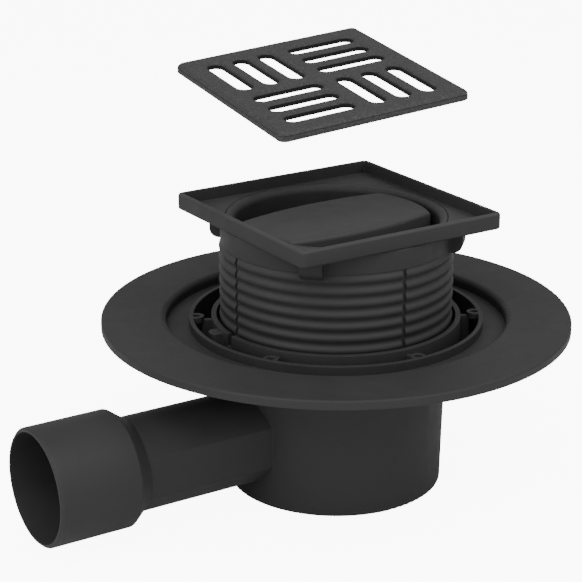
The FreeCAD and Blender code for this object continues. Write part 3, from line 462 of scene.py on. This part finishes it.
def makeGrate():
    size = grateSizes
    finish = finishes["gratePlastic"]
    top, bevel, rim, edge = size["thickness"], size["bevel"], size["rim"], size["edgeBreak"]
    # Points are (outwards, down) from the path. A fine groove runs round the side, under the bevel.
    groove, low = size["grooveDepth"], bevel - top
    rimSection = ([(-rim, -top), (-bevel, -top)] + [(x, low + y) for x, y in size["bevelRun"]]
                  + [(-groove, low + size["grooveTop"]), (-groove, low + size["grooveFoot"]),
                     (0, low + size["grooveEnd"]), (0, -edge), (-edge, 0), (edge - rim, 0), (-rim, -edge)])
    rimMesh = grow(squareRun, {
        "Half": size["half"] * mm, "Corner": size["corner"] * mm, "Corner Steps": size["cornerSteps"],
    }, finish, rimSection)
    curve = size["slotRound"]
    wallSection = [(0, size["plate"])] + arcPoints((curve, curve), curve, 180, 270, size["roundSteps"])
    plateMesh = grow(slotPlate, {
        "Half": (size["half"] - rim) * mm, "Top": top * mm, "Plate": size["plate"] * mm,
        "Slot Length": size["slotLength"] * mm, "Slot Width": size["slotWidth"] * mm,
        "Slot Round": curve * mm, "Slot Pitch": size["slotPitch"] * mm,
        "Slot Count": size["slotCount"], "Quarter Centre": size["quarterCentre"] * mm,
        "End Steps": size["endSteps"],
    }, finish, wallSection, closed=False)
    pose = Euler([math.radians(size[key]) for key in ("tip", "lean", "turn")]).to_matrix().to_4x4()
    spot = Matrix.Translation(Vector(size["spot"]) * mm) @ pose
    # The steep slot walls get the darker finish, which paints shade into the slots.
    piece = joinPiece("slottedGrate", [rimMesh, plateMesh], finish, spot, finishes["slotWallPaintedShade"])
    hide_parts("grate")
    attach(piece, "riser_set")
    return piece


grate = makeGrate()
print("grate done", len(grate.data.polygons), "faces")


# Riser: a turned tube, ribs repeated up the tube with gaps, a square frame and four corner lugs.

riserSizes = {
    "frameHalf": 50.0, "frameCorner": 3.0, "frameTop": 124.7, "frameHeight": 7.0, "frameLip": 2.2,
    "edgeRound": 1.2, "footRound": 0.8, "lipRound": 0.3, "seatDepth": 5.3,
    "tubeRadius": 49.0, "tubeBore": 46.2, "tubeBreak": 0.4, "foot": 61.5,
    "cupSeatRadius": 47.4, "cupSeat": 117.4, "bandRadius": 49.6, "ribRoot": 49.4, "ribRise": 0.8,
    "ribPitch": 5.03, "ribTop": 106.3, "ribCount": 9, "ribSink": 0.4,
    "gapWidth": 1.8, "gapDepth": 0.6, "gapCount": 4,
    "lugReach": 54.7, "lugWidth": 9.4, "lugDrop": 10.5, "lugRound": 4.0, "lugCount": 4,
    "lugRoot": 1.2, "lugHead": 0.8,  # how far a lug stands in the tube wall and in the frame
    "turnSteps": 192, "sectorSteps": 64, "waveSteps": 12, "cornerSteps": 8,
    "roundSteps": {"foot": 4, "edge": 6, "lip": 3, "lug": 8},
}


def turnedTree():
    tree, given = geometryTree("turned", ["Radius"], ["Steps"])
    rail = addNode(tree, "GeometryNodeCurvePrimitiveCircle", {
        "Radius": given["Radius"], "Resolution": given["Steps"]}).outputs[0]
    return closeTree(tree, given, sweep(tree, rail, sectionLine(tree, given)))


def ribTree():
    # A wavy section with one wave to a rib, run round each sector between two gaps. It stands proud
    # of the gaps' floor, and its first and last points sink into the tube wall.
    tree, given = geometryTree(
        "ribs", ["Radius", "Proud", "Rib Pitch", "Rib Rise", "Rib Top", "Sink", "Gap Width"],
        ["Rib Count", "Gap Count", "Wave Steps", "Steps"])
    last = calc(tree, "MULTIPLY_ADD", given["Rib Count"], given["Wave Steps"], 2.0)
    step = calc(tree, "DIVIDE", given["Rib Pitch"], given["Wave Steps"])
    top = calc(tree, "MULTIPLY_ADD", given["Rib Pitch"], 0.5, calc(tree, "ADD", given["Rib Top"], step))
    line = addNode(tree, "GeometryNodeMeshLine", {
        "Count": calc(tree, "ADD", last, 1.0),
        "Start Location": place(tree, y=calc(tree, "MULTIPLY", top, -1.0)),
        "Offset": place(tree, y=step)}, mode="OFFSET")
    index = addNode(tree, "GeometryNodeInputIndex").outputs[0]
    first = calc(tree, "COMPARE", index, 0.0, 0.5)  # 1 at the first point, 0 at the others
    final = calc(tree, "COMPARE", index, last, 0.5)
    wavePoint = calc(tree, "SUBTRACT", index, 1.0)
    phase = calc(tree, "DIVIDE", calc(tree, "MULTIPLY", wavePoint, fullTurn), given["Wave Steps"])
    height = calc(tree, "MULTIPLY", calc(tree, "SUBTRACT", 1.0, calc(tree, "COSINE", phase)), 0.5)
    skin = calc(tree, "MULTIPLY_ADD", height, given["Rib Rise"], given["Proud"])
    ends = calc(tree, "ADD", first, final)
    kept = calc(tree, "SUBTRACT", 1.0, ends)
    outwards = calc(tree, "SUBTRACT", calc(tree, "MULTIPLY", skin, kept),
                    calc(tree, "MULTIPLY", ends, given["Sink"]))
    along = calc(tree, "MULTIPLY", calc(tree, "SUBTRACT", first, final), step)
    wave = addNode(tree, "GeometryNodeSetPosition", {
        "Geometry": line.outputs[0], "Offset": place(tree, outwards, along)})
    profile = addNode(tree, "GeometryNodeMeshToCurve", {"Mesh": wave.outputs[0]})
    closed = addNode(tree, "GeometryNodeSetSplineCyclic", {"Geometry": profile.outputs[0], "Cyclic": True})
    gapTurn = calc(tree, "DIVIDE", given["Gap Width"], given["Radius"])
    share = calc(tree, "DIVIDE", fullTurn, given["Gap Count"])
    rail = addNode(tree, "GeometryNodeCurveArc", {
        "Resolution": given["Steps"], "Radius": given["Radius"],
        "Start Angle": calc(tree, "MULTIPLY", gapTurn, 0.5),
        "Sweep Angle": calc(tree, "SUBTRACT", share, gapTurn)}, mode="RADIUS")
    sector = sweep(tree, rail.outputs[0], closed.outputs[0], caps=True)
    return closeTree(tree, given, roundRepeat(tree, sector, given["Gap Count"]))


def lugTree():
    tree, given = geometryTree("lugs", ["Width", "First", "Reach"], ["Count"])
    half = calc(tree, "MULTIPLY", given["Width"], 0.5)
    rail = addNode(tree, "GeometryNodeCurvePrimitiveLine", {
        "Start": place(tree, given["Reach"], calc(tree, "MULTIPLY", half, -1.0)),
        "End": place(tree, given["Reach"], half)}).outputs[0]
    lug = sweep(tree, rail, sectionLine(tree, given), caps=True)
    return closeTree(tree, given, roundRepeat(tree, lug, given["Count"], given["First"]))


def seatTree():
    # A square sheet with a round hole.
    tree, given = geometryTree("seat", ["Half", "Corner", "Hole", "Height"], ["Corner Steps", "Steps"])
    side = calc(tree, "MULTIPLY", given["Half"], 2.0)
    border = roundedBox(tree, side, side, given["Corner"], given["Corner Steps"])
    both = addNode(tree, "GeometryNodeJoinGeometry")
    tree.links.new(border, both.inputs[0])
    hole = addNode(tree, "GeometryNodeCurvePrimitiveCircle", {
        "Radius": given["Hole"], "Resolution": given["Steps"]}).outputs[0]
    tree.links.new(hole, both.inputs[0])
    sheet = addNode(tree, "GeometryNodeFillCurve", {"Curve": both.outputs[0]}, mode="TRIANGLES")
    lifted = addNode(tree, "GeometryNodeTransform", {
        "Geometry": sheet.outputs[0], "Translation": place(tree, z=given["Height"])})
    return closeTree(tree, given, lifted.outputs[0])


turned = turnedTree()
ribs = ribTree()
lugs = lugTree()
seat = seatTree()


def makeRiser():
    size = riserSizes
    finish = finishes["riserPlastic"]
    top, under = size["frameTop"], size["frameTop"] - size["frameHeight"]
    seatHeight = top - size["seatDepth"]
    rounds = size["roundSteps"]
    steps = {"Corner Steps": size["cornerSteps"], "Steps": size["turnSteps"]}

    # Tube, drawn as (outwards from its outside, down from nought). Under the frame it has a plain band,
    # and below that it steps in to the floor of the gaps.
    tubeRadius, foot, chamfer = size["tubeRadius"], size["foot"], size["tubeBreak"]
    bore, ledge = size["tubeBore"] - tubeRadius, size["cupSeatRadius"] - tubeRadius
    band, ribStart = size["bandRadius"] - tubeRadius, size["ribTop"] + size["ribPitch"] / 2
    gapFloor = size["ribRoot"] - size["gapDepth"] - tubeRadius
    tubeSection = [(0, -under), (band, band - under), (band, -ribStart), (gapFloor, -ribStart),
                   (gapFloor, -foot - chamfer), (gapFloor - chamfer, -foot), (bore + chamfer, -foot),
                   (bore, -foot - chamfer), (bore, -size["cupSeat"]), (ledge, -size["cupSeat"]),
                   (ledge, -seatHeight)]
    tube = grow(turned, {"Radius": tubeRadius * mm, "Steps": size["turnSteps"]},
                finish, tubeSection, closed=False)
    ribMesh = grow(ribs, {
        "Radius": (size["ribRoot"] - size["gapDepth"]) * mm, "Proud": size["gapDepth"] * mm,
        "Rib Pitch": size["ribPitch"] * mm, "Rib Rise": size["ribRise"] * mm,
        "Rib Top": size["ribTop"] * mm, "Sink": size["ribSink"] * mm, "Gap Width": size["gapWidth"] * mm,
        "Rib Count": size["ribCount"], "Gap Count": size["gapCount"],
        "Wave Steps": size["waveSteps"], "Steps": size["sectorSteps"],
    }, finish, [(0, 0)])

    # Frame: outer wall with rounded edges, lip, and the wall of the grate seat.
    half, corner = size["frameHalf"], size["frameCorner"]
    edge, base, lip, lipRound = size["edgeRound"], size["footRound"], size["frameLip"], size["lipRound"]
    frameSection = ([(-base, -under)] + arcPoints((-base, -under - base), base, 90, 0, rounds["foot"])
                    + arcPoints((-edge, edge - top), edge, 0, -90, rounds["edge"])
                    + arcPoints((lipRound - lip, lipRound - top), lipRound, -90, -180, rounds["lip"])
                    + [(-lip, -seatHeight)])
    frameMesh = grow(squareRun, {
        "Half": half * mm, "Corner": corner * mm, "Corner Steps": size["cornerSteps"],
    }, finish, frameSection, closed=False)
    seatMesh = grow(seat, {"Half": (half - lip) * mm, "Corner": (corner - lip) * mm,
                           "Hole": size["cupSeatRadius"] * mm, "Height": seatHeight * mm, **steps},
                    finish, [(0, 0)])
    underMesh = grow(seat, {"Half": (half - base) * mm, "Corner": (corner - base) * mm,
                            "Hole": tubeRadius * mm, "Height": under * mm, **steps},
                     finish, [(0, 0)])

    # Lug: its lower outer edge is rounded, its back stands in the tube.
    reach, low = size["lugReach"] - tubeRadius, under - size["lugDrop"]
    root, head, curve = size["lugRoot"], under + size["lugHead"], size["lugRound"]
    lugSection = ([(-root, -head), (reach, -head)]
                  + arcPoints((reach - curve, -low - curve), curve, 0, 90, rounds["lug"]) + [(-root, -low)])
    lugMesh = grow(lugs, {"Width": size["lugWidth"] * mm, "First": math.pi / 4, "Reach": tubeRadius * mm,
                          "Count": size["lugCount"]}, finish, lugSection)
    piece = joinPiece("ribbedRiser", [tube, ribMesh, frameMesh, seatMesh, underMesh, lugMesh], finish)
    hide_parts("riser")
    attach(piece, "riser_set")
    return piece


riser = makeRiser()
print("riser done", len(riser.data.polygons), "faces")


# Floor, lights and camera.

studio = {
    "eye": (-0.4372, -0.6444, 0.3570), "target": (-0.01625, 0.01045, 0.08492), "lens": 118.5,
    "sensor": 36, "lampAim": (0, 0, 0.08), "skyStrength": 0.58,
    "floorSize": 8, "floorDrop": 0.0004, "floorTone": 0.93, "floorRoughness": 0.9, "floorSpecular": 0.1,
    "floorGlow": 0.0, "floorWhite": 9.0,  # what the floor gives to the object, and to the camera
    "lamps": {
        "keyLamp": {"spot": (-0.9, -0.8, 1.5), "size": 1.4, "power": 22},
        "fillLamp": {"spot": (0.7, -0.9, 1.5), "size": 1.2, "power": 14},
        "lowLamp": {"spot": (0.1, -1.5, 0.55), "size": 1.0, "power": 4},
        "sideLamp": {"spot": (-1.5, -0.1, 0.6), "size": 1.0, "power": 9},
    },
}


def addFloor():
    bpy.ops.mesh.primitive_plane_add(size=studio["floorSize"], location=(0, 0, -studio["floorDrop"]))
    floor = bpy.context.object
    floor.name = "floor"
    material = bpy.data.materials.new("paleFloor")
    material.use_nodes = True
    tree = material.node_tree
    tree.nodes.clear()
    seen = addNode(tree, "ShaderNodeLightPath").outputs["Is Camera Ray"]
    glow = mixTone(tree, seen, (studio["floorGlow"],) * 3, (studio["floorWhite"],) * 3)
    skin = addNode(tree, "ShaderNodeBsdfPrincipled", {
        "Base Color": (*(studio["floorTone"],) * 3, 1), "Roughness": studio["floorRoughness"],
        "Specular IOR Level": studio["floorSpecular"], "Emission Color": glow, "Emission Strength": 1.0})
    addNode(tree, "ShaderNodeOutputMaterial", {"Surface": skin.outputs["BSDF"]})
    floor.data.materials.append(material)


def aimAt(thing, eye, target):
    thing.location = eye
    thing.rotation_euler = (Vector(target) - Vector(eye)).to_track_quat("-Z", "Y").to_euler()
    bpy.context.scene.collection.objects.link(thing)


def addCamera():
    data = bpy.data.cameras.new("camera")
    data.lens = studio["lens"]
    data.sensor_width = studio["sensor"]
    camera = bpy.data.objects.new("camera", data)
    aimAt(camera, studio["eye"], studio["target"])
    bpy.context.scene.camera = camera


def addLamp(name, lamp):
    data = bpy.data.lights.new(name, "AREA")
    data.size = lamp["size"]
    data.energy = lamp["power"]
    aimAt(bpy.data.objects.new(name, data), lamp["spot"], studio["lampAim"])


def addSky():
    world = bpy.data.worlds.new("studio")
    world.use_nodes = True
    bpy.context.scene.world = world
    sky = world.node_tree.nodes["Background"]
    sky.inputs["Color"].default_value = (1, 1, 1, 1)
    sky.inputs["Strength"].default_value = studio["skyStrength"]


addFloor()
addCamera()
for lampName, lamp in studio["lamps"].items():
    addLamp(lampName, lamp)
addSky()
print("stage done")
